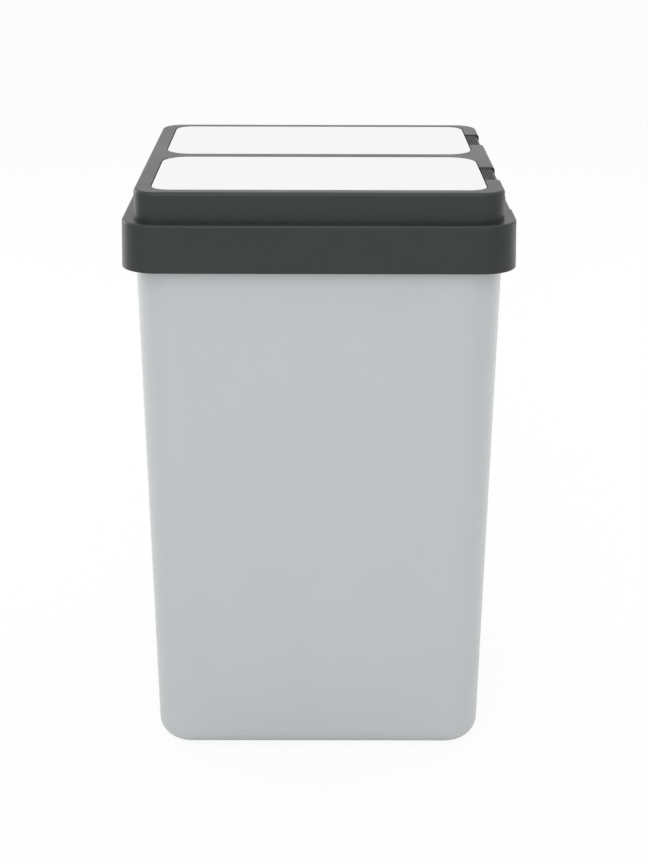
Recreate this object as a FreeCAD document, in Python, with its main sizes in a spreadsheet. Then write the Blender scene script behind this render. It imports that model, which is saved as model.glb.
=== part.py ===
import FreeCAD, Part
import math
import os
import re
import Sketcher

# Double recycling bin for the kitchen floor, in millimetres.
# The origin is on the floor under the middle of the bin, +Z is up, the two
# compartments lie one behind the other along Y, and the lids hinge on the -X
# side and are released by a ribbed catch each on the +X side.

Vector = FreeCAD.Vector
document = FreeCAD.newDocument("double_recycling_bin")
sheet = document.addObject("Spreadsheet::Sheet", "Sizes")

# ---------------------------------------------------------------- driving sizes
SIZES = (
    # whole bin
    ("total_height", 559.0, "floor to the top face of the frame"),
    ("fit_gap", 0.3, "gap left where two moving pieces rest on each other"),
    # outer bucket
    ("rim_play", 1.4, "play between the bucket's rim and the collar around it"),
    ("bucket_taper", 6.5, "how much each side of the outer bucket draws in to its base"),
    ("bucket_corner", 38.0, "plan radius of the outer bucket at its mouth"),
    ("bucket_base_corner", 33.0, "plan radius of the outer bucket at its base"),
    ("bucket_bottom_radius", 20.0, "radius between the outer bucket's wall and floor"),
    ("bucket_wall", 2.3, "wall of the outer bucket"),
    ("bucket_floor", 3.0, "floor of the outer bucket"),
    ("foot_height", 1.2, "standing ring below the floor"),
    ("foot_inset", 2.0, "standing ring inside the flat of the base"),
    ("foot_band", 12.0, "width of the standing ring's band"),
    ("foot_corner", 30.0, "plan radius of the standing ring"),
    ("rim_flange", 5.2, "how far the bucket's rim stands out from its wall"),
    ("rim_thick", 2.5, "thickness of the bucket's rim"),
    ("rim_drop", 10.5, "height of the bucket's turned-down rim"),
    ("rim_lip", 2.0, "wall of the turned-down rim"),
    # frame: a collar with a stepped top
    ("collar_width", 350.0, "collar across its lower edge, square in plan"),
    ("collar_flare", 1.3, "how much each side of the collar draws in to its top"),
    ("collar_height", 42.5, "collar from its lower edge to the ledge"),
    ("collar_corner", 32.5, "plan radius of the collar"),
    ("collar_edge", 2.0, "rounding of the collar's top edge"),
    ("step_height", 26.5, "step from the ledge to the top face"),
    ("step_inset", 10.5, "width of the ledge between collar and step"),
    ("step_draft", 0.6, "how much each side of the step draws in to its top"),
    ("step_corner", 21.0, "plan radius of the step"),
    ("step_edge", 3.0, "rounding of the step's top edge"),
    ("frame_wall", 2.6, "wall of the frame"),
    ("frame_skin", 2.5, "top skin of the frame"),
    ("lip_drop", 12.0, "locating lip inside the bucket's mouth"),
    ("lip_wall", 2.2, "wall of the locating lip"),
    ("lip_clearance", 0.7, "play between the locating lip and the bucket"),
    ("divider", 12.7, "bar of the frame between the two lids"),
    ("seat_width", 3.0, "how far the lid's seat reaches under the lid"),
    ("seat_thick", 2.2, "thickness of the lid's seat"),
    ("border_wall", 2.0, "wall that hangs round each lid opening"),
    ("border_drop", 8.5, "height of that wall below the top skin"),
    ("web_wall", 2.2, "stiffening web under the divider"),
    ("web_drop", 18.0, "height of the web below the top skin"),
    # lids
    ("side_border", 15.1, "border of the frame at a lid's two ends"),
    ("long_border", 12.45, "border of the frame along a lid's outer side"),
    ("lid_corner", 16.0, "plan radius of a lid's corners at the outer border"),
    ("lid_bar_corner", 24.0, "plan radius of a lid's corners at the divider"),
    ("lid_thick", 2.5, "thickness of a lid's plate"),
    ("lid_edge", 0.6, "rounding of a lid's top edge"),
    ("lid_bevel", 1.8, "bevel under a lid's edge, which lets it turn clear of the frame"),
    ("lid_gap", 0.8, "gap round a lid"),
    ("skirt_inset", 5.0, "stiffening skirt inside a lid's edge"),
    ("skirt_wall", 2.0, "wall of the lid's skirt"),
    ("skirt_drop", 6.5, "height of the lid's skirt"),
    ("lid_rib", 1.6, "thickness of a rib under a lid"),
    ("lid_rib_drop", 4.5, "height of a rib under a lid"),
    # lid hinges
    ("hinge_offset", 8.4, "hinge axis beyond the lid's edge"),
    ("hinge_depth", 8.0, "hinge axis below the top face"),
    ("hinge_pin", 4.0, "diameter of a hinge pin"),
    ("hinge_pin_length", 116.0, "length of a hinge pin"),
    ("pin_fit", 0.02, "radial play of a pin in the frame's ears"),
    ("pivot_fit", 0.05, "radial play of a turning piece on its pin"),
    ("barrel", 7.5, "diameter of the lid's hinge barrel"),
    ("arm_spacing", 90.0, "between the two hinge arms of a lid"),
    ("arm_width", 12.0, "width of a hinge arm"),
    ("arm_thick", 3.0, "thickness of a hinge arm"),
    ("arm_reach", 12.0, "inside reach of the arm's bend, from the hinge axis"),
    ("arm_play", 1.5, "play between an arm and the frame beside it"),
    ("ear_thick", 3.5, "thickness of the ears that hold the hinge pin"),
    ("inner_ear", 42.5, "between the middles of the two inner ears"),
    # opening springs on the hinge pins
    ("spring_wire", 1.0, "wire of a lid spring"),
    ("spring_mean", 3.2, "radius of a lid spring, to the middle of its wire"),
    ("spring_turns", 6.0, "turns of a lid spring"),
    ("spring_pitch", 1.6, "pitch of a lid spring"),
    ("spring_leg", 8.0, "length of a lid spring's leg behind the hinge arm"),
    ("spring_foot", 9.0, "length of the bent foot that pushes on the hinge arm"),
    # catches
    ("catch_shift", 2.0, "catch beyond the middle of its lid"),
    ("catch_length", 54.0, "opening in the frame for a catch, along Y"),
    ("catch_play", 0.5, "gap round a catch"),
    ("catch_sink", 1.6, "catch pad below the top face"),
    ("catch_plate", 3.0, "thickness of the catch pad"),
    ("scoop_depth", 2.0, "finger scoop into the side of the step"),
    ("scoop_drop", 17.0, "how far the scoop runs down the collar"),
    ("catch_pin", 3.0, "diameter of a catch pin"),
    ("catch_pin_offset", 6.7, "catch pin beyond the lid's edge"),
    ("catch_pin_depth", 6.7, "catch pin below the top face"),
    ("catch_pin_length", 62.0, "length of a catch pin"),
    ("knuckle", 5.6, "diameter of a catch's knuckles"),
    ("knuckle_length", 9.0, "length of a catch's knuckle"),
    ("catch_ear", 3.0, "thickness of the ears that hold the catch pin"),
    ("grip_ribs", 5, "ribs on a catch pad"),
    ("grip_pitch", 2.0, "between two ribs"),
    ("grip_rib", 1.0, "width of a rib"),
    ("grip_height", 1.0, "height of a rib"),
    ("hook_width", 12.0, "width of the latch hook and of the lid's tongue"),
    ("hook_thick", 2.0, "thickness of the hook and tongue"),
    ("hook_drop", 16.0, "hook below the catch pin"),
    ("latch_gap", 0.3, "gap between the hook's nose and the tongue's nose"),
    ("nose_height", 3.0, "height of the noses"),
    ("tongue_inset", 3.3, "tongue inside the lid's edge"),
    ("coil_offset", 11.5, "catch spring from the middle of the catch"),
    ("coil_inset", 1.6, "catch spring from the inner edge of the pad"),
    ("coil_mean", 1.8, "radius of a catch spring, to the middle of its wire"),
    ("coil_wire", 0.6, "wire of a catch spring"),
    ("coil_turns", 5.0, "turns of a catch spring"),
    ("shelf_thick", 1.8, "shelf that carries a catch spring"),
    ("shelf_depth", 8.4, "shelf below the catch pad"),
    ("shelf_width", 7.0, "width of the shelf"),
    # inner buckets
    ("inner_end_play", 6.2, "room for the bail between an inner bucket's rim and the outer bucket"),
    ("inner_side_play", 10.0, "room along the outer side of an inner bucket's rim"),
    ("inner_taper", 7.0, "how much each side draws in to the base"),
    ("inner_corner", 28.0, "plan radius at the mouth"),
    ("inner_base_corner", 22.0, "plan radius at the base"),
    ("inner_bottom_radius", 14.0, "radius between wall and floor"),
    ("inner_wall", 1.8, "wall of an inner bucket"),
    ("inner_floor", 2.2, "floor of an inner bucket"),
    ("inner_sink", 14.5, "rim of an inner bucket below the frame's ledge"),
    ("inner_flange", 6.0, "how far the rim stands out"),
    ("inner_rim_thick", 2.2, "thickness of the rim"),
    ("inner_rim_drop", 9.0, "height of the turned-down rim"),
    ("inner_space", 2.4, "gap between the rims of the two inner buckets"),
    ("lug_thick", 3.5, "thickness of a bail lug"),
    ("lug_width", 14.0, "width of a bail lug"),
    ("lug_height", 6.0, "bail axis above the rim"),
    # bails
    ("bail_wire", 4.0, "diameter of the bail's wire"),
    ("bail_inset", 1.5, "bail's long run inside the inner bucket's outer side"),
    ("bail_bend", 25.0, "radius of the bail's two corners"),
    ("bail_hook_bend", 3.5, "radius of the bend into the lug"),
    ("bail_end", 3.0, "how far the wire's end stands inside the lug"),
    ("grip_diameter", 11.0, "diameter of the bail's grip"),
    ("grip_length", 104.0, "length of the bail's grip"),
)

# What follows from the driving sizes, as formulas of the sheet's names.
WORKED = {
    "collar_top": "total_height - step_height",
    "collar_bottom": "collar_top - collar_height",
    "collar_half": "collar_width / 2",
    "collar_top_half": "collar_half - collar_flare",
    "step_half": "collar_top_half - step_inset",
    "step_top_half": "step_half - step_draft",
    "skin_under": "total_height - frame_skin",
    "ledge_under": "collar_top - frame_skin",
    "rim_top": "ledge_under - fit_gap",
    "mouth_half": "collar_top_half - frame_wall - rim_play - rim_flange",
    "base_half": "mouth_half - bucket_taper",
    "foot_half": "base_half - bucket_bottom_radius - foot_inset",
    "floor_top": "foot_height + bucket_floor",
    "lip_half": "mouth_half - bucket_wall - lip_clearance",
    "lip_corner": "bucket_corner - bucket_wall - lip_clearance",
    "lid_half_x": "step_top_half - side_border",
    "lid_half_y": "(step_top_half - long_border - divider / 2 - lid_gap) / 2",
    "lid_y": "divider / 2 + lid_gap + lid_half_y",
    "lid_under": "total_height - lid_thick",
    "seat_top": "lid_under - fit_gap",
    "open_x": "lid_half_x + lid_gap",
    "open_y": "lid_half_y + lid_gap",
    "axis_x": "lid_half_x + hinge_offset",
    "axis_z": "total_height - hinge_depth",
    "ear_y": "arm_spacing / 2 + arm_width / 2 + arm_play + ear_thick / 2",
    "catch_y": "lid_y + catch_shift",
    "pad_top": "total_height - catch_sink",
    "pad_under": "pad_top - catch_plate",
    "pad_inner": "lid_half_x + lid_gap + fit_gap",
    "pad_outer": "step_top_half - scoop_depth",
    "catch_pin_x": "lid_half_x + catch_pin_offset",
    "catch_pin_z": "total_height - catch_pin_depth",
    "hook_bottom": "catch_pin_z - hook_drop",
    "hook_x": "pad_inner + 0.9",
    "tongue_x": "lid_half_x - tongue_inset",
    "tongue_nose": "tongue_x + hook_thick",
    "shelf_top": "pad_under - shelf_depth",
    "coil_x": "pad_inner + coil_inset",
    "cavity_half": "mouth_half - bucket_wall",
    "inner_half_x": "cavity_half - inner_end_play - inner_flange",
    "inner_half_y": "(cavity_half - inner_side_play - inner_space / 2) / 2 - inner_flange",
    "inner_y": "inner_half_y + inner_flange + inner_space / 2",
    "inner_base": "floor_top + fit_gap",
    "inner_top": "ledge_under - inner_sink",
    "bail_z": "inner_top + lug_height",
    "lug_inner": "inner_half_x - lug_thick / 2 - 0.2",
    "bail_x": "lug_inner + lug_thick + bail_hook_bend + fit_gap",
    "bail_reach": "inner_half_y - bail_inset",
}

for line, (alias, size, note) in enumerate(SIZES, start=1):
    sheet.set(f"A{line}", note)
    sheet.set(f"B{line}", str(size))
    sheet.setAlias(f"B{line}", alias)
document.recompute()


def bound(formula):
    """The formula written out with the cells of the sheet."""
    def cell(match):
        word = match.group(0)
        if word in WORKED:
            return "(" + bound(WORKED[word]) + ")"
        return "Sizes." + word
    return re.sub(r"[a-z][a-z_]*", cell, str(formula))


def number(formula):
    """What the formula comes to with the present sizes."""
    return float(sheet.evalExpression(bound(formula)))


# ---------------------------------------------------------------- sketch helpers
def new_body(name):
    body = document.addObject("PartDesign::Body", name)
    body.Label = name
    return body


def new_sketch(body, name, plane="XY_Plane", at="0"):
    """A sketch on one of the body's planes, moved to the coordinate `at`."""
    sketch = body.newObject("Sketcher::SketchObject", name)
    support = [item for item in body.Origin.OriginFeatures if item.Role == plane][0]
    sketch.AttachmentSupport = [(support, "")]
    sketch.MapMode = "FlatFace"
    sign = "-" if plane == "XZ_Plane" else ""
    sketch.setExpression(".AttachmentOffset.Base.z", f"{sign}({bound(at)})")
    return sketch


def constrain(sketch, fixed, sized):
    """Adds plain constraints, then dimensions that follow formulas of the sheet."""
    made = [Sketcher.Constraint(*entry) for entry in fixed]
    made += [Sketcher.Constraint(kind, *references, number(formula))
             for kind, references, formula in sized]
    indexes = sketch.addConstraint(made)
    for index, (_, _, formula) in zip(indexes[len(fixed):], sized):
        sketch.setExpression(f"Constraints[{index}]", bound(formula))


def add_rounded_rectangle(sketch, centre, half, radius):
    """Four arcs and four lines from formulas; the radius may be a pair, for the +Y and -Y corners."""
    high, low = radius if isinstance(radius, tuple) else (radius, radius)
    first = sketch.GeometryCount
    turns = ((1, 1, high), (-1, 1, high), (-1, -1, low), (1, -1, low))
    for quarter, (side_x, side_y, corner) in enumerate(turns):
        bend = number(corner)
        hub = Vector(number(centre[0]) + side_x * (number(half[0]) - bend),
                     number(centre[1]) + side_y * (number(half[1]) - bend), 0)
        start = math.radians(90 * quarter)
        arc = Part.ArcOfCircle(Part.Circle(hub, Vector(0, 0, 1), bend), start, start + math.pi / 2)
        sketch.addGeometry(arc, False)
    for quarter in range(4):
        begin = sketch.getPoint(first + quarter, 2)
        end = sketch.getPoint(first + (quarter + 1) % 4, 1)
        sketch.addGeometry(Part.LineSegment(begin, end), False)
    top, left, bottom, right = (first + 4 + quarter for quarter in range(4))
    fixed = [("Horizontal", top), ("Horizontal", bottom), ("Vertical", left), ("Vertical", right)]
    fixed += [("Equal", first, first + 1), ("Equal", first + 2, first + 3)]
    for quarter in range(4):
        fixed.append(("Tangent", first + quarter, 2, top + quarter, 1))
        fixed.append(("Tangent", top + quarter, 2, first + (quarter + 1) % 4, 1))
    constrain(sketch, fixed, (
        ("Radius", (first,), high),
        ("Radius", (first + 2,), low),
        ("DistanceX", (-1, 1, right, 1), f"({centre[0]}) + ({half[0]})"),
        ("DistanceX", (-1, 1, left, 1), f"({centre[0]}) - ({half[0]})"),
        ("DistanceY", (-1, 1, top, 1), f"({centre[1]}) + ({half[1]})"),
        ("DistanceY", (-1, 1, bottom, 1), f"({centre[1]}) - ({half[1]})")))


def grown(radius, change):
    """A radius, or a pair of radii, made larger or smaller."""
    if isinstance(radius, tuple):
        return tuple(grown(each, change) for each in radius)
    return f"({radius}) + ({change})"


def lid_corners(sign):
    """A lid's plan radii at its +Y and -Y corners: the rounder pair is at the divider."""
    outer, bar = "lid_corner", "lid_bar_corner"
    return (bar, outer) if sign == "-" else (outer, bar)


def rounded_sketch(body, name, at, half, radius, centre=("0", "0"), wall=None):
    """A rounded rectangle at the height `at`, or a band of it with a wall."""
    sketch = new_sketch(body, name, "XY_Plane", at)
    add_rounded_rectangle(sketch, centre, half, radius)
    if wall:
        inner = [f"({size}) - ({wall})" for size in half]
        tight = grown(radius, f"-({wall})")
        add_rounded_rectangle(sketch, centre, inner, tight)
    return sketch


def polygon_sketch(body, name, plane, at, *outlines):
    """Closed outlines whose corners are pairs of formulas."""
    sketch = new_sketch(body, name, plane, at)
    for corners in outlines:
        first = sketch.GeometryCount
        count = len(corners)
        points = [Vector(number(across), number(up), 0) for across, up in corners]
        lines = [Part.LineSegment(point, points[(index + 1) % count])
                 for index, point in enumerate(points)]
        sketch.addGeometry(lines, False)
        fixed = [("Coincident", first + index, 2, first + (index + 1) % count, 1)
                 for index in range(count)]
        sized = []
        for index, (across, up) in enumerate(corners, start=first):
            sized.append(("DistanceX", (-1, 1, index, 1), across))
            sized.append(("DistanceY", (-1, 1, index, 1), up))
        constrain(sketch, fixed, sized)
    return sketch


def rectangle(low_x, high_x, low_y, high_y):
    return ((low_x, low_y), (high_x, low_y), (high_x, high_y), (low_x, high_y))


def add_circle(sketch, centre, radius):
    hub = Vector(number(centre[0]), number(centre[1]), 0)
    index = sketch.addGeometry(Part.Circle(hub, Vector(0, 0, 1), number(radius)), False)
    constrain(sketch, (), (("Radius", (index,), radius),
                           ("DistanceX", (-1, 1, index, 3), centre[0]),
                           ("DistanceY", (-1, 1, index, 3), centre[1])))


def circle_sketch(body, name, plane, at, centre, *radii):
    """One circle, or a ring where two radii are given."""
    sketch = new_sketch(body, name, plane, at)
    for radius in radii:
        add_circle(sketch, centre, radius)
    return sketch


# ---------------------------------------------------------------- feature helpers
def extrude(body, kind, name, sketch, length, both_ways=False, downwards=False):
    feature = body.newObject(f"PartDesign::{kind}", name)
    feature.Profile = sketch
    feature.setExpression("Length", bound(length))
    if both_ways:
        feature.SideType = "Symmetric"
    feature.Reversed = downwards
    return feature


def pad(body, name, sketch, length, **options):
    return extrude(body, "Pad", name, sketch, length, **options)


def pocket(body, name, sketch, length, upwards=True, both_ways=False):
    """A cut; a pocket goes against the sketch's normal unless it is reversed."""
    return extrude(body, "Pocket", name, sketch, length, both_ways=both_ways, downwards=upwards)


def loft(body, kind, name, sections):
    feature = body.newObject(f"PartDesign::{kind}", name)
    feature.Profile = sections[0]
    feature.Sections = sections[1:]
    feature.Ruled = True
    return feature


def dress(body, kind, name, base, size, wanted):
    """Rounds or bevels the edges of `base` that `wanted` picks."""
    document.recompute()
    edges = [f"Edge{index}" for index, edge in enumerate(base.Shape.Edges, start=1) if wanted(edge)]
    feature = body.newObject(f"PartDesign::{kind}", name)
    feature.Base = (base, edges)
    feature.setExpression("Radius" if kind == "Fillet" else "Size", bound(size))
    return feature


def fillet(body, name, base, radius, wanted):
    return dress(body, "Fillet", name, base, radius, wanted)


def level(height):
    """Picks the edges that lie flat at a height."""
    wanted = number(height)
    return lambda edge: (abs(edge.BoundBox.ZMin - wanted) < 1e-4
                         and abs(edge.BoundBox.ZMax - wanted) < 1e-4)


def blocks(body, kind, name, low_z, high_z, *outlines):
    """Adds or cuts upright blocks that share their lowest and highest level."""
    sketch = polygon_sketch(body, name + "_outline", "XY_Plane", low_z, *outlines)
    make = pad if kind == "Pad" else pocket
    return make(body, name, sketch, f"({high_z}) - ({low_z})")


SIDES = (("front", "-"), ("back", ""))


# ---------------------------------------------------------------- outer bucket
def outer_bucket():
    """Tapered square tub with a standing ring and a turned-down rim."""
    body = new_body("outer_bucket")
    base = rounded_sketch(body, "bucket_base", "foot_height", ("base_half", "base_half"),
                          "bucket_base_corner")
    mouth = rounded_sketch(body, "bucket_mouth", "rim_top", ("mouth_half", "mouth_half"),
                           "bucket_corner")
    loft(body, "AdditiveLoft", "bucket_form", [base, mouth])

    inner_base = ("base_half - bucket_wall",) * 2
    inner_mouth = ("mouth_half - bucket_wall",) * 2
    floor = rounded_sketch(body, "cavity_floor", "floor_top", inner_base,
                           "bucket_base_corner - bucket_wall")
    top = rounded_sketch(body, "cavity_mouth", "rim_top", inner_mouth, "bucket_corner - bucket_wall")
    cavity = loft(body, "SubtractiveLoft", "bucket_cavity", [floor, top])
    hollow = fillet(body, "cavity_round", cavity, "bucket_bottom_radius - bucket_wall",
                    level("floor_top"))
    fillet(body, "bucket_round", hollow, "bucket_bottom_radius", level("foot_height"))

    flange_half = "mouth_half + rim_flange"
    flange = rounded_sketch(body, "rim_outline", "rim_top", (flange_half,) * 2,
                            "bucket_corner + rim_flange",
                            wall="rim_flange + bucket_wall / 2")
    pad(body, "rim", flange, "rim_thick", downwards=True)
    turned = rounded_sketch(body, "rim_lip_outline", "rim_top", (flange_half,) * 2,
                            "bucket_corner + rim_flange", wall="rim_lip")
    pad(body, "rim_turned_down", turned, "rim_drop", downwards=True)
    foot = rounded_sketch(body, "foot_outline", "0", ("foot_half",) * 2, "foot_corner",
                          wall="foot_band")
    pad(body, "standing_ring", foot, "foot_height")
    return body


# ---------------------------------------------------------------- frame
def frame_shell(body):
    """The collar and the step as one hollow moulding."""
    collar = [rounded_sketch(body, "collar_low", "collar_bottom", ("collar_half",) * 2,
                             "collar_corner"),
              rounded_sketch(body, "collar_high", "collar_top", ("collar_top_half",) * 2,
                             "collar_corner - collar_flare")]
    skirt = loft(body, "AdditiveLoft", "collar", collar)
    skirt = fillet(body, "collar_round", skirt, "collar_edge", level("collar_top"))
    step = [rounded_sketch(body, "step_low", "collar_top", ("step_half",) * 2, "step_corner"),
            rounded_sketch(body, "step_high", "total_height", ("step_top_half",) * 2,
                           "step_corner - step_draft")]
    top = loft(body, "AdditiveLoft", "step", step)
    fillet(body, "step_round", top, "step_edge", level("total_height"))

    under = [rounded_sketch(body, "skirt_low", "collar_bottom", ("collar_half - frame_wall",) * 2,
                            "collar_corner - frame_wall"),
             rounded_sketch(body, "skirt_high", "ledge_under", ("collar_top_half - frame_wall",) * 2,
                            "collar_corner - collar_flare - frame_wall")]
    loft(body, "SubtractiveLoft", "skirt_hollow", under)
    inside = [rounded_sketch(body, "hollow_low", "collar_top", ("step_half - frame_wall",) * 2,
                             "step_corner - frame_wall"),
              rounded_sketch(body, "hollow_high", "skin_under", ("step_top_half - frame_wall",) * 2,
                             "step_corner - step_draft - frame_wall")]
    loft(body, "SubtractiveLoft", "step_hollow", inside)
    lip = rounded_sketch(body, "lip_outline", "ledge_under - lip_drop", ("lip_half",) * 2,
                         "lip_corner", wall="lip_wall")
    pad(body, "locating_lip", lip, "lip_drop + frame_skin")
    mouth = rounded_sketch(body, "mouth_outline", "ledge_under - lip_drop",
                           ("lip_half - lip_wall",) * 2, "lip_corner - lip_wall")
    pocket(body, "frame_mouth", mouth, "lip_drop + frame_skin")


def lid_openings(body):
    """Each lid's opening: a hanging wall with a seat, cut through the skin."""
    wall_low = "skin_under - border_drop"
    for side, sign in SIDES:
        centre = ("0", f"{sign}(lid_y)")
        outer = ("open_x + border_wall", "open_y + border_wall")
        block = rounded_sketch(body, f"border_{side}_outline", wall_low, outer,
                               grown(lid_corners(sign), "lid_gap + border_wall"), centre)
        pad(body, f"border_{side}", block, "border_drop + frame_skin / 2")
    for side, sign in SIDES:
        centre = ("0", f"{sign}(lid_y)")
        clear = ("open_x", "open_y")
        open_corners = grown(lid_corners(sign), "lid_gap")
        seat = ("lid_half_x - seat_width", "lid_half_y - seat_width")
        below = rounded_sketch(body, f"below_{side}_outline", wall_low, clear, open_corners, centre)
        pocket(body, f"below_seat_{side}", below, "seat_top - seat_thick - (skin_under - border_drop)")
        through = rounded_sketch(body, f"through_{side}_outline", wall_low, seat,
                                 grown(lid_corners(sign), "-seat_width"), centre)
        pocket(body, f"through_{side}", through, "border_drop + frame_skin + 1")
        above = rounded_sketch(body, f"above_{side}_outline", "seat_top", clear, open_corners, centre)
        pocket(body, f"above_seat_{side}", above, "total_height - seat_top + 1")
    web_end = "step_top_half - frame_wall / 2"
    blocks(body, "Pad", "divider_web", "skin_under - web_drop", "skin_under + frame_skin / 2",
           rectangle(f"-({web_end})", web_end, "-(web_wall / 2)", "web_wall / 2"))


def hinge_places(body):
    """Notches for the lid arms and the ears that hold the hinge pins."""
    notches, ears = [], []
    wall = "-(step_half - frame_wall / 2)"
    for side, sign in SIDES:
        middle = f"{sign}(lid_y)"
        for lean in ("-", "+"):
            arm = f"{middle} {lean} arm_spacing / 2"
            notches.append(rectangle("-(open_x + border_wall + 0.5)", "-(lid_half_x - seat_width - 1)",
                                     f"{arm} - arm_width / 2 - arm_play",
                                     f"{arm} + arm_width / 2 + arm_play"))
            for spread in ("ear_y", "inner_ear / 2"):
                ear = f"{middle} {lean} {spread}"
                ears.append(rectangle(wall, "-(open_x + 0.6)", f"{ear} - ear_thick / 2",
                                      f"{ear} + ear_thick / 2"))
    blocks(body, "Pocket", "arm_notches", "skin_under - border_drop - 1", "seat_top + 0.1", *notches)
    blocks(body, "Pad", "hinge_ears", "axis_z - 6", "skin_under + frame_skin / 2", *ears)
    bevel = polygon_sketch(body, "ear_bevel_outline", "XZ_Plane", "0",
                           (("-(axis_x - 2.5)", "axis_z - 7"), ("-(open_x - 1)", "axis_z - 7"),
                            ("-(open_x - 1)", "axis_z - 0.5")))
    length = "2 * (lid_y + hinge_pin_length / 2)"
    pocket(body, "ear_bevel", bevel, length, both_ways=True)
    bore = circle_sketch(body, "hinge_bore_outline", "XZ_Plane", "0", ("-(axis_x)", "axis_z"),
                         "hinge_pin / 2 + pin_fit")
    pocket(body, "hinge_bore", bore, length, both_ways=True)


def catch_places(body):
    """Pockets, finger scoops, ears and spring shelves of the two catches."""
    wall_inner = "pad_outer - frame_wall"
    ear_outer = "step_top_half - frame_wall / 2"
    scoop_walls, ears, openings, rooms, shelves, pegs = [], [], [], [], [], []
    for side, sign in SIDES:
        middle = f"{sign}(catch_y)"
        low_y, high_y = f"{middle} - catch_length / 2", f"{middle} + catch_length / 2"
        scoop_walls.append(rectangle(wall_inner, ear_outer, f"{low_y} - catch_ear",
                                     f"{high_y} + catch_ear"))
        ears.append(rectangle("open_x + 0.4", ear_outer, f"{low_y} - catch_ear", low_y))
        ears.append(rectangle("open_x + 0.4", ear_outer, high_y, f"{high_y} + catch_ear"))
        openings.append(rectangle("open_x", "collar_half", low_y, high_y))
        rooms.append(rectangle("lid_half_x - seat_width - 1", wall_inner, low_y, high_y))
        shelf_y = f"{middle} + coil_offset"
        shelves.append(rectangle("coil_x - shelf_width / 2", "pad_outer - frame_wall / 2",
                                 f"{shelf_y} - shelf_width / 2", f"{shelf_y} + shelf_width / 2"))
        pegs.append(("coil_x", shelf_y))
    blocks(body, "Pad", "scoop_walls", "ledge_under", "skin_under", *scoop_walls)
    blocks(body, "Pad", "catch_ears", "catch_pin_z - 4", "skin_under + frame_skin / 2", *ears)
    blocks(body, "Pocket", "catch_openings", "pad_under - 0.5", "total_height + 1", *openings)
    blocks(body, "Pocket", "catch_rooms", "skin_under - border_drop - 1", "seat_top + 0.1", *rooms)

    # The scoop is flat into the step's side and fades out down the collar.
    scoop = (("pad_outer", "total_height + 1"), ("collar_half + 2", "total_height + 1"),
             ("collar_half + 2", "collar_top - scoop_drop"),
             ("collar_top_half + 0.4", "collar_top - scoop_drop"),
             ("collar_top_half - scoop_depth", "collar_top"), ("step_half - scoop_depth", "collar_top"))
    for side, sign in SIDES:
        outline = polygon_sketch(body, f"scoop_{side}_outline", "XZ_Plane", f"{sign}(catch_y)", scoop)
        pocket(body, f"scoop_{side}", outline, "catch_length", both_ways=True)
    blocks(body, "Pad", "spring_shelves", "shelf_top - shelf_thick", "shelf_top", *shelves)
    peg_sketch = new_sketch(body, "peg_outline", "XY_Plane", "shelf_top")
    for place in pegs:
        add_circle(peg_sketch, place, "coil_mean - coil_wire / 2 - 0.2")
    pad(body, "spring_pegs", peg_sketch, "2")
    bore = circle_sketch(body, "catch_bore_outline", "XZ_Plane", "0",
                         ("catch_pin_x", "catch_pin_z"), "catch_pin / 2 + pin_fit")
    pocket(body, "catch_bore", bore, "2 * (catch_y + catch_pin_length / 2)", both_ways=True)


def lid_frame():
    body = new_body("lid_frame")
    frame_shell(body)
    lid_openings(body)
    hinge_places(body)
    catch_places(body)
    return body


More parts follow.
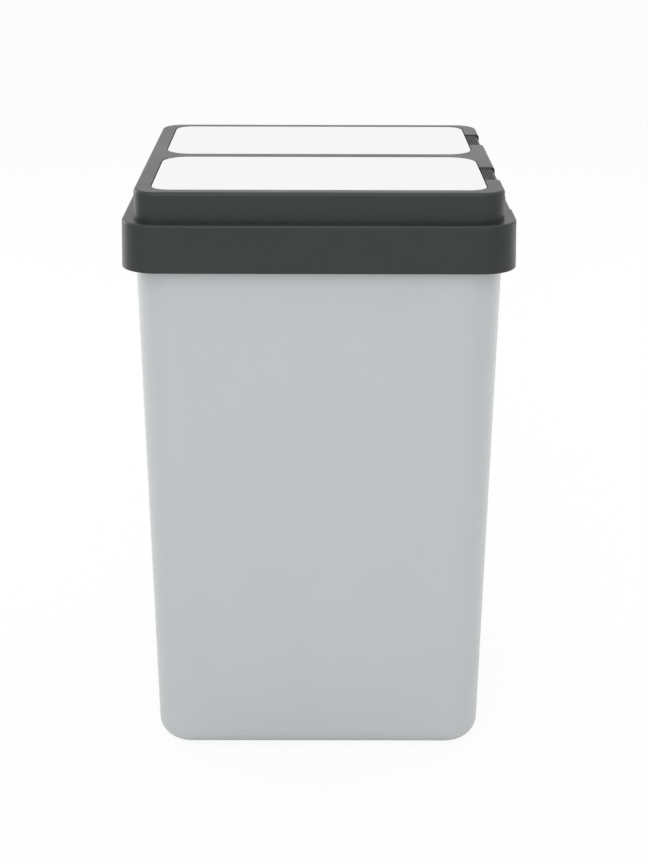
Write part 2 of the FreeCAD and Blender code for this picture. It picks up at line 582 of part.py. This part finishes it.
# ---------------------------------------------------------------- lids
def lid(side, sign):
    """White plate with a skirt, ribs, two goose-neck hinge arms and a latch tongue."""
    body = new_body(f"lid_{side}")
    middle = f"{sign}(lid_y)"
    centre = ("0", middle)
    corners = lid_corners(sign)
    outline = rounded_sketch(body, f"plate_{side}", "lid_under", ("lid_half_x", "lid_half_y"),
                             corners, centre)
    plate = pad(body, f"lid_plate_{side}", outline, "lid_thick")
    plate = fillet(body, f"lid_edge_{side}", plate, "lid_edge", level("total_height"))
    dress(body, "Chamfer", f"lid_bevel_{side}", plate, "lid_bevel", level("lid_under"))
    skirt = rounded_sketch(body, f"skirt_{side}_outline", "lid_under",
                           ("lid_half_x - skirt_inset", "lid_half_y - skirt_inset"),
                           grown(corners, "-skirt_inset"), centre, wall="skirt_wall")
    pad(body, f"lid_skirt_{side}", skirt, "skirt_drop", downwards=True)
    long_end = "(lid_half_x - skirt_inset - 1)"
    long_ribs = [rectangle(f"-{long_end}", long_end, f"{middle} {lean} lid_half_y / 3 - lid_rib / 2",
                           f"{middle} {lean} lid_half_y / 3 + lid_rib / 2") for lean in ("-", "+")]
    blocks(body, "Pad", f"long_ribs_{side}", "lid_under - lid_rib_drop",
           "lid_under + lid_thick / 2", *long_ribs)
    cross_end = "(lid_half_y - skirt_inset - 1)"
    cross_ribs = [rectangle(f"{row} * lid_half_x / 2 - lid_rib / 2", f"{row} * lid_half_x / 2 + lid_rib / 2",
                            f"{middle} - {cross_end}", f"{middle} + {cross_end}") for row in (-1, 0, 1)]
    blocks(body, "Pad", f"cross_ribs_{side}", "lid_under - lid_rib_drop",
           "lid_under + lid_thick / 2", *cross_ribs)

    # Goose necks: down from the barrel, round under the frame's edge, up to the plate.
    inside, outside = "arm_reach", "(arm_reach + arm_thick)"
    neck = (("-0.75 * arm_thick", "0"), ("-0.75 * arm_thick", f"-{inside}"),
            ("0.25 * arm_thick", f"-{outside}"), ("arm_reach - 0.5", f"-{outside}"),
            (outside, f"0.5 - {inside}"), (outside, "hinge_depth - lid_thick / 2"),
            (inside, "hinge_depth - lid_thick / 2"), (inside, f"1 - {inside}"),
            (f"{inside} - 1", f"-{inside}"), ("0.25 * arm_thick + 1", f"-{inside}"),
            ("0.25 * arm_thick", f"1 - {inside}"), ("0.25 * arm_thick", "0"))
    bends = [(f"{across} - axis_x", f"axis_z + {up}") for across, up in neck]
    for arm, lean in (("left", "-"), ("right", "+")):
        place = f"{middle} {lean} arm_spacing / 2"
        profile = polygon_sketch(body, f"neck_{side}_{arm}_outline", "XZ_Plane", place, bends)
        pad(body, f"neck_{side}_{arm}", profile, "arm_width", both_ways=True)
        ring = circle_sketch(body, f"barrel_{side}_{arm}_outline", "XZ_Plane", place,
                             ("-(axis_x)", "axis_z"), "barrel / 2")
        pad(body, f"barrel_{side}_{arm}", ring, "arm_width", both_ways=True)
    bore = circle_sketch(body, f"barrel_bore_{side}_outline", "XZ_Plane", middle,
                         ("-(axis_x)", "axis_z"), "hinge_pin / 2 + pivot_fit")
    pocket(body, f"barrel_bore_{side}", bore, "hinge_pin_length", both_ways=True)

    # Latch tongue: hangs by the catch, its nose points outwards below the hook's.
    nose_top = "(hook_bottom + 1 - fit_gap)"
    tongue = (("tongue_x - hook_thick", "lid_under + lid_thick / 2"),
              ("tongue_x", "lid_under + lid_thick / 2"), ("tongue_x", nose_top),
              ("tongue_nose", f"{nose_top}"), ("tongue_nose", f"{nose_top} - 1"),
              ("tongue_x", f"{nose_top} - nose_height"),
              ("tongue_x - hook_thick", f"{nose_top} - nose_height"))
    profile = polygon_sketch(body, f"tongue_{side}_outline", "XZ_Plane", f"{sign}(catch_y)", tongue)
    pad(body, f"tongue_{side}", profile, "hook_width", both_ways=True)
    return body


def hinge_pin(side, sign):
    body = new_body(f"hinge_pin_{side}")
    rod = circle_sketch(body, f"hinge_pin_{side}_outline", "XZ_Plane", f"{sign}(lid_y)",
                        ("-(axis_x)", "axis_z"), "hinge_pin / 2")
    pad(body, f"hinge_rod_{side}", rod, "hinge_pin_length", both_ways=True)
    return body


# ---------------------------------------------------------------- springs
def arc_from(start, heading, end):
    """The arc that leaves `start` along `heading` and ends at `end`."""
    chord = end - start
    inward = heading.cross(chord).cross(heading).normalize()
    radius = chord.dot(chord) / (2 * chord.dot(inward))
    hub = start + inward * radius
    middle = hub + ((start - hub) + (end - hub)).normalize() * radius
    return Part.Arc(start, middle, end).toShape()


def coil(radius, pitch, turns, hand=1):
    """A helix about Z from (radius, 0, 0), as a pair of tangent arcs for each quarter turn."""
    climb = pitch / (2 * math.pi)

    def at(quarters):
        turned = hand * quarters * math.pi / 2
        point = Vector(radius * math.cos(turned), radius * math.sin(turned), climb * abs(turned))
        along = Vector(-hand * radius * math.sin(turned), hand * radius * math.cos(turned), climb)
        return point, along.normalize()

    edges = []
    for quarter in range(round(turns * 4)):
        (start, leaving), (end, arriving) = at(quarter), at(quarter + 1)
        chord, both = end - start, leaving + arriving
        bend, lean = 2 * (1 - leaving.dot(arriving)), 2 * chord.dot(both)
        reach = (math.sqrt(lean * lean + 4 * bend * chord.dot(chord)) - lean) / (2 * bend)
        meeting = (start + leaving * reach + end - arriving * reach) * 0.5
        edges.append(arc_from(start, leaving, meeting))
        edges.append(arc_from(meeting, (end - arriving * reach - meeting).normalize(), end))
    return edges


def rounded_run(points, bend):
    """Straight runs through the points, with each corner rounded by an arc."""
    edges = []
    start = points[0]
    for corner, following in zip(points[1:-1], points[2:]):
        back = (start - corner).normalize() * bend
        ahead = (following - corner).normalize() * bend
        middle = corner + (back + ahead) * (1 - math.sqrt(0.5))
        edges.append(Part.LineSegment(start, corner + back).toShape())
        edges.append(Part.Arc(corner + back, middle, corner + ahead).toShape())
        start = corner + ahead
    edges.append(Part.LineSegment(start, points[-1]).toShape())
    return edges


def least_gap(path, diameter, turn):
    """Clear gap of a wire to itself, on points half a turn or more apart."""
    points = path.discretize(Number=round(path.Length / 0.4))
    apart = round(len(points) * turn / 2 / path.Length)
    return min(point.distanceToPoint(other) for index, point in enumerate(points)
               for other in points[index + apart:]) - diameter


def wire_piece(name, edges, diameter, turn, placement):
    """A round wire along joined edges, as one solid; `turn` is the length of one turn."""
    path = Part.Wire(edges)
    start = path.Edges[0]
    heading = start.tangentAt(start.FirstParameter)
    section = Part.Wire(Part.makeCircle(diameter / 2, start.valueAt(start.FirstParameter), heading))
    piece = document.addObject("Part::Feature", name)
    piece.Label = name
    piece.Shape = path.makePipeShell([section], True, False)
    piece.Placement = placement
    print(name, "wire of", round(path.Length, 1), "mm, least gap to itself",
          round(least_gap(path, diameter, turn), 2), "mm")
    return piece


def hinge_spring(side, sign):
    """Torsion spring on the hinge pin: one leg under an ear, one behind a hinge arm."""
    radius, pitch = number("spring_mean"), number("spring_pitch")
    turns = number("spring_turns") + 0.5
    arm_face = number("0.75 * arm_thick + spring_wire / 2 + 0.1")
    leg, bend = number("spring_leg"), number("spring_wire")
    ear_under = number("6 + spring_wire / 2 + 0.1")
    length = turns * pitch
    # Local frame: Z along the pin, X to the lid, Y down.
    start = [Vector(radius, ear_under, -number("ear_thick")), Vector(radius, ear_under, 0),
             Vector(radius, 0, 0)]
    finish = [Vector(-radius, 0, length), Vector(-arm_face, leg, length),
              Vector(-arm_face, leg, length + number("spring_foot"))]
    edges = rounded_run(start, bend)
    edges += coil(radius, pitch, turns, hand=-1)
    edges += rounded_run(finish, bend)
    first = number(f"{sign}(lid_y) + inner_ear / 2 + ear_thick / 2 + 0.8")
    turn = FreeCAD.Rotation(Vector(1, 0, 0), -90)
    place = FreeCAD.Placement(Vector(-number("axis_x"), first, number("axis_z")), turn)
    return wire_piece(f"hinge_spring_{side}", edges, number("spring_wire"), 2 * math.pi * radius, place)


def catch_spring(side, sign):
    """Compression spring that holds a catch's thumb pad level."""
    turns, radius = number("coil_turns"), number("coil_mean")
    height = number("pad_under - shelf_top - coil_wire - 0.2")
    edges = coil(radius, height / turns, turns)
    place = Vector(number("coil_x"), number(f"{sign}(catch_y) + coil_offset"),
                   number("shelf_top + coil_wire / 2 + 0.1"))
    return wire_piece(f"catch_spring_{side}", edges, number("coil_wire"), 2 * math.pi * radius,
                      FreeCAD.Placement(place, FreeCAD.Rotation()))


# ---------------------------------------------------------------- catches
def catch(side, sign):
    """Rocker with a ribbed thumb pad, two knuckles on its pin and a latch hook."""
    body = new_body(f"catch_{side}")
    middle = f"{sign}(catch_y)"
    half = "(catch_length / 2 - catch_play)"
    section = (("pad_inner", "pad_under"), ("pad_outer - 1.2", "pad_under"), ("pad_outer", "pad_under + 0.4"),
               ("pad_outer", "pad_top - 1.4"), ("pad_outer - 1.4", "pad_top - 0.3"),
               ("pad_outer - 3.6", "pad_top"), ("pad_inner", "pad_top"))
    profile = polygon_sketch(body, f"pad_{side}_outline", "XZ_Plane", middle, section)
    pad(body, f"thumb_pad_{side}", profile, f"2 * {half}", both_ways=True)
    for end, place in (("near", f"{middle} - {half} + knuckle_length / 2"),
                       ("far", f"{middle} + {half} - knuckle_length / 2")):
        ring = circle_sketch(body, f"knuckle_{side}_{end}_outline", "XZ_Plane", place,
                             ("catch_pin_x", "catch_pin_z"), "knuckle / 2")
        pad(body, f"knuckle_{side}_{end}", ring, "knuckle_length", both_ways=True)
    bore = circle_sketch(body, f"knuckle_bore_{side}_outline", "XZ_Plane", middle,
                         ("catch_pin_x", "catch_pin_z"), "catch_pin / 2 + pivot_fit")
    pocket(body, f"knuckle_bore_{side}", bore, "catch_length", both_ways=True)
    nose = "tongue_nose + latch_gap"
    hook = (("hook_x", "pad_under + catch_plate / 2"), ("hook_x", "hook_bottom + 1 + nose_height"),
            (nose, "hook_bottom + 2"), (nose, "hook_bottom + 1"), ("hook_x", "hook_bottom + 1"),
            ("hook_x", "hook_bottom"), ("hook_x + hook_thick", "hook_bottom"),
            ("hook_x + hook_thick", "pad_under + catch_plate / 2"))
    profile = polygon_sketch(body, f"hook_{side}_outline", "XZ_Plane", middle, hook)
    pad(body, f"latch_hook_{side}", profile, "hook_width", both_ways=True)
    edges = [f"pad_inner + 0.5 + {row} * grip_pitch" for row in range(round(number("grip_ribs")))]
    blocks(body, "Pad", f"grip_ribs_{side}", "pad_top - 0.5", "pad_top + grip_height",
           *[rectangle(edge, f"{edge} + grip_rib", f"{middle} - {half} + 1", f"{middle} + {half} - 1")
             for edge in edges])
    return body


def catch_pin(side, sign):
    body = new_body(f"catch_pin_{side}")
    rod = circle_sketch(body, f"catch_pin_{side}_outline", "XZ_Plane", f"{sign}(catch_y)",
                        ("catch_pin_x", "catch_pin_z"), "catch_pin / 2")
    pad(body, f"catch_rod_{side}", rod, "catch_pin_length", both_ways=True)
    return body


# ---------------------------------------------------------------- inner buckets
def inner_bucket(side, sign):
    """Removable tapered bucket with a turned-down rim and a lug at each end."""
    body = new_body(f"inner_bucket_{side}")
    middle = f"{sign}(inner_y)"
    centre = ("0", middle)
    base_half = ("inner_half_x - inner_taper", "inner_half_y - inner_taper")
    mouth_half = ("inner_half_x", "inner_half_y")
    base = rounded_sketch(body, f"inner_base_{side}", "inner_base", base_half, "inner_base_corner", centre)
    mouth = rounded_sketch(body, f"inner_mouth_{side}", "inner_top", mouth_half, "inner_corner", centre)
    loft(body, "AdditiveLoft", f"inner_form_{side}", [base, mouth])
    floor = rounded_sketch(body, f"inner_floor_{side}", "inner_base + inner_floor",
                           [f"{size} - inner_wall" for size in base_half],
                           "inner_base_corner - inner_wall", centre)
    top = rounded_sketch(body, f"inner_top_{side}", "inner_top",
                         [f"{size} - inner_wall" for size in mouth_half],
                         "inner_corner - inner_wall", centre)
    cavity = loft(body, "SubtractiveLoft", f"inner_cavity_{side}", [floor, top])
    hollow = fillet(body, f"inner_hollow_{side}", cavity, "inner_bottom_radius - inner_wall",
                    level("inner_base + inner_floor"))
    fillet(body, f"inner_round_{side}", hollow, "inner_bottom_radius", level("inner_base"))
    flange_half = [f"{size} + inner_flange" for size in mouth_half]
    flange = rounded_sketch(body, f"inner_rim_{side}_outline", "inner_top", flange_half,
                            "inner_corner + inner_flange", centre,
                            wall="inner_flange + inner_wall / 2")
    pad(body, f"inner_rim_{side}", flange, "inner_rim_thick", downwards=True)
    turned = rounded_sketch(body, f"inner_lip_{side}_outline", "inner_top", flange_half,
                            "inner_corner + inner_flange", centre, wall="inner_wall")
    pad(body, f"inner_lip_{side}", turned, "inner_rim_drop", downwards=True)
    for end, mirror in (("left", "-"), ("right", "")):
        lug = ((f"{middle} - lug_width / 2", "inner_top - 1"), (f"{middle} + lug_width / 2", "inner_top - 1"),
               (f"{middle} + lug_width / 2", "inner_top + lug_height / 2"), (f"{middle} + 3.2", "bail_z + 4.5"),
               (f"{middle} - 3.2", "bail_z + 4.5"), (f"{middle} - lug_width / 2", "inner_top + lug_height / 2"))
        place = f"{mirror}(lug_inner + lug_thick / 2)"
        profile = polygon_sketch(body, f"lug_{side}_{end}_outline", "YZ_Plane", place, lug)
        pad(body, f"lug_{side}_{end}", profile, "lug_thick", both_ways=True)
    bore = circle_sketch(body, f"lug_bore_{side}_outline", "YZ_Plane", "0", (middle, "bail_z"),
                         "bail_wire / 2 + pivot_fit")
    pocket(body, f"lug_bore_{side}", bore, "2 * bail_x", both_ways=True)
    return body


def bail(side, sign):
    """Wire bail, laid down on the rim, its ends turned in through the lugs."""
    body = new_body(f"bail_{side}")
    middle = f"{sign}(inner_y)"
    away = -1 if sign == "-" else 1
    centre_y = number(middle)
    run_y = centre_y + away * number("bail_reach")
    side_x, end_x = number("bail_x"), number("lug_inner - bail_end")
    bend, hook = number("bail_bend"), number("bail_hook_bend")
    path = new_sketch(body, f"bail_path_{side}", "XY_Plane", "bail_z")
    corners = [Vector(-end_x, centre_y, 0), Vector(-side_x, centre_y, 0), Vector(-side_x, run_y, 0),
               Vector(side_x, run_y, 0), Vector(side_x, centre_y, 0), Vector(end_x, centre_y, 0)]
    radii = [0, hook, bend, bend, hook, 0]
    ends = []
    for index in range(1, 5):
        before = (corners[index - 1] - corners[index]).normalize() * radii[index]
        after = (corners[index + 1] - corners[index]).normalize() * radii[index]
        ends.append((corners[index] + before, corners[index] + after, corners[index] + before + after))
    stops = [corners[0]] + [point for pair in ends for point in pair[:2]] + [corners[-1]]
    for index in range(5):
        path.addGeometry(Part.LineSegment(stops[2 * index], stops[2 * index + 1]), False)
        if index < 4:
            first, last, hub = ends[index]
            start = math.atan2(first.y - hub.y, first.x - hub.x)
            stop = math.atan2(last.y - hub.y, last.x - hub.x)
            if (stop - start) % (2 * math.pi) > math.pi:
                start, stop = stop, start
            circle = Part.Circle(hub, Vector(0, 0, 1), radii[index + 1])
            path.addGeometry(Part.ArcOfCircle(circle, start, stop), False)
    ring = circle_sketch(body, f"bail_section_{side}", "YZ_Plane", "-(lug_inner - bail_end)",
                         (middle, "bail_z"), "bail_wire / 2")
    wire = body.newObject("PartDesign::AdditivePipe", f"bail_wire_{side}")
    wire.Profile = ring
    wire.Spine = path
    wire.Transition = "Right corner"
    return body


def bail_grip(side, sign):
    body = new_body(f"bail_grip_{side}")
    place = (f"{sign}(inner_y + bail_reach)", "bail_z")
    ring = circle_sketch(body, f"grip_{side}_outline", "YZ_Plane", "0", place,
                         "grip_diameter / 2", "bail_wire / 2 + pivot_fit")
    pad(body, f"grip_sleeve_{side}", ring, "grip_length", both_ways=True)
    return body


# ---------------------------------------------------------------- build and write
nodes = [outer_bucket(), lid_frame()]
for side, sign in SIDES:
    nodes += [lid(side, sign), hinge_pin(side, sign), hinge_spring(side, sign),
              catch(side, sign), catch_pin(side, sign), catch_spring(side, sign),
              inner_bucket(side, sign), bail(side, sign), bail_grip(side, sign)]
document.recompute()

for item in document.Objects:
    if "Invalid" in item.State or "Error" in item.State:
        raise RuntimeError(f"{item.Name} failed: {item.State}")
os.makedirs("parts", exist_ok=True)
for node in nodes:
    shape = node.Shape
    if shape.isNull() or not shape.isValid():
        raise RuntimeError(f"{node.Label} has no valid solid")
    print(node.Label, len(shape.Solids), "solid,", round(shape.Volume), "mm3")
    shape.exportStep(f"parts/{node.Label}.step")
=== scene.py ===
import math

import bpy
from mathutils import Matrix, Vector


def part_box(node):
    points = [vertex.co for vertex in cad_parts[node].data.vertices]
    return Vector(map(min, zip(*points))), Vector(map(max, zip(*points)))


# Double recycling bin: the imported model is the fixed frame, and this script gives each of its
# pieces a finish and sets the whole in a plain white studio.

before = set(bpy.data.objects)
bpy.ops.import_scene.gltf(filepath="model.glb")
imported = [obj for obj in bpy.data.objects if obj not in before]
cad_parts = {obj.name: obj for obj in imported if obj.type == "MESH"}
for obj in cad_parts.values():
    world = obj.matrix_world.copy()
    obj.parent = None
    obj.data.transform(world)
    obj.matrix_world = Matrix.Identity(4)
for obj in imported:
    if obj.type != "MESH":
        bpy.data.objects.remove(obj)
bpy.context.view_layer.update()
MM = 0.001


# ---------------------------------------------------------------- materials: helpers
def colour(hexes):
    """An sRGB hex value as linear RGBA."""
    channels = [int(hexes[place:place + 2], 16) / 255 for place in (1, 3, 5)]
    return [c / 12.92 if c <= 0.04045 else ((c + 0.055) / 1.055) ** 2.4 for c in channels] + [1.0]


def add(tree, kind, links=None, **settings):
    """Adds a node; settings are its properties or its sockets, links feed its sockets."""
    made = tree.nodes.new(kind)
    for name, value in settings.items():
        if hasattr(made, name):
            setattr(made, name, value)
        else:
            made.inputs[name.replace("_", " ")].default_value = value
    for name, source in (links or {}).items():
        tree.links.new(source, made.inputs[name])
    return made


def material(name, **settings):
    """A material with one Principled shader, whose steady values sit on its own sockets."""
    made = bpy.data.materials.new(name)
    made.use_nodes = True
    tree = made.node_tree
    shader = tree.nodes["Principled BSDF"]
    for socket, value in settings.items():
        shader.inputs[socket.replace("_", " ")].default_value = value
    place = add(tree, "ShaderNodeTexCoord").outputs["Object"]
    return made, tree, shader, place


def vary_colour(tree, shader, pattern, deep, tint):
    """Runs the base colour from `deep` to `tint` as the pattern goes from 0 to 1."""
    blend = add(tree, "ShaderNodeMix", {"Factor": pattern}, data_type="RGBA")
    blend.inputs["A"].default_value = colour(deep)
    blend.inputs["B"].default_value = colour(tint)
    tree.links.new(blend.outputs["Result"], shader.inputs["Base Color"])


def vary_sheen(tree, shader, pattern, low, high):
    """Runs the roughness from `low` to `high` over the middle of a noise's values."""
    sheen = add(tree, "ShaderNodeMapRange", {"Value": pattern}, From_Min=0.3, From_Max=0.7,
                To_Min=low, To_Max=high)
    tree.links.new(sheen.outputs["Result"], shader.inputs["Roughness"])


def emboss(tree, shader, pattern, strength, depth):
    """Raises the pattern out of the surface, by `depth` millimetres at its highest."""
    bump = add(tree, "ShaderNodeBump", {"Height": pattern}, Strength=strength, Distance=depth * MM)
    tree.links.new(bump.outputs["Normal"], shader.inputs["Normal"])


def moulded(name, tint, deep, roughness, grain, depth, flow, **settings):
    """Injection-moulded plastic: an eroded grain, a faint cloud of flow and a varied sheen.

    `grain` is the spacing of the eroded texture and `depth` its height, and `flow` is the spacing of
    the cloud, in millimetres. The real grain is 0.1 to 0.2 mm, drawn coarser so that it shows."""
    made, tree, shader, place = material(name, **settings)
    cloud = add(tree, "ShaderNodeTexNoise", {"Vector": place}, Scale=1 / (flow * MM), Detail=3.0,
                Roughness=0.5)
    vary_colour(tree, shader, cloud.outputs["Fac"], deep, tint)
    vary_sheen(tree, shader, cloud.outputs["Fac"], roughness - 0.03, roughness + 0.03)
    pits = add(tree, "ShaderNodeTexNoise", {"Vector": place}, Scale=1 / (grain * MM), Detail=2.0,
               Roughness=0.6)
    emboss(tree, shader, pits.outputs["Fac"], 1.0, depth)
    return made


def paint_pad_light(made, tint, rise, run, on_top=0.4, at_end=0.9, dull=0.04, bright=0.5):
    """Paints light onto a pad as a lighter grey: `on_top` of the way over the heights of `rise`, a
    painted highlight on the rib tops that leaves the grooves as painted shade, and up to `at_end` over
    the places along X of `run`, a painted reflection on its outer end; `dull` and `bright` are its gloss
    levels, raised by the same share."""
    tree = made.node_tree
    shader = tree.nodes["Principled BSDF"]
    plain = shader.inputs["Base Color"].links[0].from_socket
    place = add(tree, "ShaderNodeTexCoord").outputs["Object"]
    axes = add(tree, "ShaderNodeSeparateXYZ", {"Vector": place})
    height = add(tree, "ShaderNodeMapRange", {"Value": axes.outputs["Z"]}, From_Min=rise[0],
                 From_Max=rise[1], To_Min=0.0, To_Max=on_top)
    across = add(tree, "ShaderNodeMapRange", {"Value": axes.outputs["X"]}, From_Min=run[0],
                 From_Max=run[1], To_Min=0.0, To_Max=at_end)
    share = add(tree, "ShaderNodeMath", {0: height.outputs["Result"], 1: across.outputs["Result"]},
                operation="MAXIMUM")
    # The lighter grey mixed in here is painted highlight on the rib tops and painted reflection on the
    # outer end.
    blend = add(tree, "ShaderNodeMix", {"Factor": share.outputs["Value"], "A": plain}, data_type="RGBA")
    blend.inputs["B"].default_value = colour(tint)
    tree.links.new(blend.outputs["Result"], shader.inputs["Base Color"])
    gloss = add(tree, "ShaderNodeMapRange", {"Value": share.outputs["Value"]}, To_Min=dull, To_Max=bright)
    tree.links.new(gloss.outputs["Result"], shader.inputs["Specular IOR Level"])


def drawn_steel(name, tint, deep, roughness, along):
    """Steel wire or rod: bright, with drawing lines along the axis named by `along`.

    The real lines are some hundredths of a millimetre apart, drawn 0.25 mm apart so that they show."""
    made, tree, shader, place = material(name, Metallic=1.0)
    spacing, length = 0.25 * MM, 12 * MM
    stretch = [1 / length if axis == along else 1 / spacing for axis in "xyz"]
    run = add(tree, "ShaderNodeMapping", {"Vector": place}, Scale=stretch)
    lines = add(tree, "ShaderNodeTexNoise", {"Vector": run.outputs["Vector"]}, Scale=1.0, Detail=2.0)
    vary_colour(tree, shader, lines.outputs["Fac"], deep, tint)
    vary_sheen(tree, shader, lines.outputs["Fac"], roughness - 0.06, roughness + 0.08)
    emboss(tree, shader, lines.outputs["Fac"], 0.6, 0.01)
    return made


# ---------------------------------------------------------------- materials of the bin
# Satin polypropylene, silver grey, moulded against a smooth wall: a thin gloss skin over an even
# pigment, which brightens only where it grazes.
BUCKET = moulded("satin_polypropylene_silver", "#BEC2C3", "#BBBFC0", roughness=0.34, grain=0.5,
                 depth=0.012, flow=60, IOR=1.49, Specular_IOR_Level=0.8, Coat_Weight=0.3,
                 Coat_Roughness=0.22)
# Spark-eroded polypropylene, anthracite: almost black in the joints, a cool grey where it grazes.
FRAME = moulded("eroded_polypropylene_anthracite", "#303231", "#2C2E2D", roughness=0.36, grain=0.5,
                depth=0.015, flow=45, IOR=1.49, Specular_IOR_Level=0.4, Specular_Tint=colour("#F4F8FF"))
# Semi-gloss polypropylene, white, the least textured piece of the bin.
LID = moulded("gloss_polypropylene_white", "#F9F9F8", "#F6F6F5", roughness=0.30, grain=0.6,
              depth=0.006, flow=60, IOR=1.49)
# The catches are the frame's plastic with a deeper grain, dull on their flanks. Painted light: the rib
# tops a little lighter and glossier, with the grooves as painted shade, and the outer end lighter and
# glossier most of all, a painted reflection of the bright room.
CATCH = moulded("grip_polypropylene_anthracite", "#131514", "#0F1110", roughness=0.42, grain=0.45,
                depth=0.02, flow=20, IOR=1.49)
catch_low, catch_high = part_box("catch_front")
paint_pad_light(CATCH, "#343838", rise=(catch_high[2] - 1.9 * MM, catch_high[2] - 1.05 * MM),
             run=(catch_low[0] + 9.5 * MM, catch_low[0] + 16.5 * MM))
# Matt polypropylene of the inner buckets, dark grey regrind.
INNER = moulded("matt_polypropylene_dark_grey", "#3B3C3E", "#343537", roughness=0.52, grain=0.6,
                depth=0.02, flow=50, IOR=1.49)
# Sleeve of the bail: black polypropylene, polished by the hand.
GRIP = moulded("polished_polypropylene_black", "#1C1C1E", "#161618", roughness=0.33, grain=0.5,
               depth=0.01, flow=15, IOR=1.49)
# Zinc-plated wire of the bails, pins of bright drawn rod, darker spring steel.
BAIL = drawn_steel("zinc_plated_wire", "#C9CCCE", "#B4B8BB", roughness=0.30, along="x")
PIN = drawn_steel("bright_drawn_rod", "#C4C6C8", "#ADB0B3", roughness=0.26, along="y")
SPRING = drawn_steel("oiled_spring_steel", "#8C8E90", "#757779", roughness=0.32, along="y")

FINISHES = {"outer_bucket": BUCKET, "lid_frame": FRAME, "lid": LID, "catch": CATCH,
            "hinge_pin": PIN, "hinge_spring": SPRING, "catch_pin": PIN, "catch_spring": SPRING,
            "inner_bucket": INNER, "bail": BAIL, "bail_grip": GRIP}

for name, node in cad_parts.items():
    node.data.materials.clear()
    node.data.materials.append(FINISHES[name.removesuffix("_front").removesuffix("_back")])


# ---------------------------------------------------------------- studio
FLOOR_WHITE = 0.91   # how much of the floor the camera sees as plain white; the rest keeps the shadow
ROOM_LIGHT = 0.62    # how strongly the white room lights the bin
AIM = Vector((0, 0, 0.3))   # the middle of the bin, in metres


def studio_floor():
    """A pale floor that keeps the bin's shadow and otherwise runs out to white."""
    bpy.ops.mesh.primitive_plane_add(size=40)
    floor = bpy.context.object
    floor.name = "studio_floor"
    made, tree, shader, _ = material("matt_white_floor", Roughness=0.9)
    shader.inputs["Base Color"].default_value = colour("#FEFEFE")
    path = add(tree, "ShaderNodeLightPath")
    white = add(tree, "ShaderNodeEmission", Strength=1.0)
    share = add(tree, "ShaderNodeMath", {0: path.outputs["Is Camera Ray"]}, operation="MULTIPLY")
    share.inputs[1].default_value = FLOOR_WHITE
    blend = add(tree, "ShaderNodeMixShader", {0: share.outputs["Value"], 1: shader.outputs["BSDF"],
                                              2: white.outputs["Emission"]})
    tree.links.new(blend.outputs["Shader"], tree.nodes["Material Output"].inputs["Surface"])
    floor.data.materials.append(made)


def white_room():
    """An even white surround: full white where it is seen or mirrored, softer as a light."""
    world = bpy.data.worlds.new("white_room")
    bpy.context.scene.world = world
    world.use_nodes = True
    tree = world.node_tree
    path = add(tree, "ShaderNodeLightPath")
    seen = path.outputs["Is Camera Ray"]
    for ray in ("Is Glossy Ray", "Is Transmission Ray"):
        seen = add(tree, "ShaderNodeMath", {0: seen, 1: path.outputs[ray]},
                   operation="MAXIMUM").outputs["Value"]
    level = add(tree, "ShaderNodeMapRange", {"Value": seen}, To_Min=ROOM_LIGHT, To_Max=1.0)
    shade = tree.nodes["Background"]
    shade.inputs["Color"].default_value = (1, 1, 1, 1)
    tree.links.new(level.outputs["Result"], shade.inputs["Strength"])


def soft_box(name, place, size, power, mirrored=True):
    """A large square lamp at `place`, of `size`, both in metres, that looks at the bin."""
    lamp = bpy.data.lights.new(name, "AREA")
    lamp.shape = "SQUARE"
    lamp.size = size
    lamp.energy = power
    holder = bpy.data.objects.new(name, lamp)
    holder.location = place
    holder.rotation_euler = (AIM - Vector(place)).to_track_quat("-Z", "Y").to_euler()
    holder.visible_camera = False
    holder.visible_glossy = mirrored
    bpy.context.collection.objects.link(holder)


studio_floor()
white_room()
soft_box("front_lamp", (-0.5, -3.0, 2.2), size=2.6, power=33)
soft_box("top_lamp", (0.1, 0.4, 3.0), size=2.6, power=13)
soft_box("left_rim_lamp", (-1.9, 1.3, 0.8), size=1.5, power=13)
# Mirrored in the frame, this lamp would make its right side brighter than the photograph shows.
soft_box("right_rim_lamp", (1.9, 1.3, 0.8), size=1.5, power=13, mirrored=False)


# ---------------------------------------------------------------- camera
# The photograph's view: 67.5 mm lens, from 1.54 m in front and 0.87 m up, tipped down by 21 degrees.
LENS, SENSOR_HEIGHT = 67.4575, 36
EYE = Vector((-0.04, -1541.11, 868.14)) * MM
DOWN, LEFT, ROLL = math.radians(21.04), math.radians(-0.2), math.radians(0.18)

eye = bpy.data.cameras.new("photo_camera")
eye.sensor_fit = "VERTICAL"
eye.sensor_height = SENSOR_HEIGHT
eye.lens = LENS
camera = bpy.data.objects.new("photo_camera", eye)
camera.matrix_world = (Matrix.Translation(EYE) @ Matrix.Rotation(LEFT, 4, "Z")
                       @ Matrix.Rotation(math.pi / 2 - DOWN, 4, "X") @ Matrix.Rotation(ROLL, 4, "Z"))
bpy.context.collection.objects.link(camera)
bpy.context.scene.camera = camera
bpy.context.scene.view_settings.view_transform = "Standard"
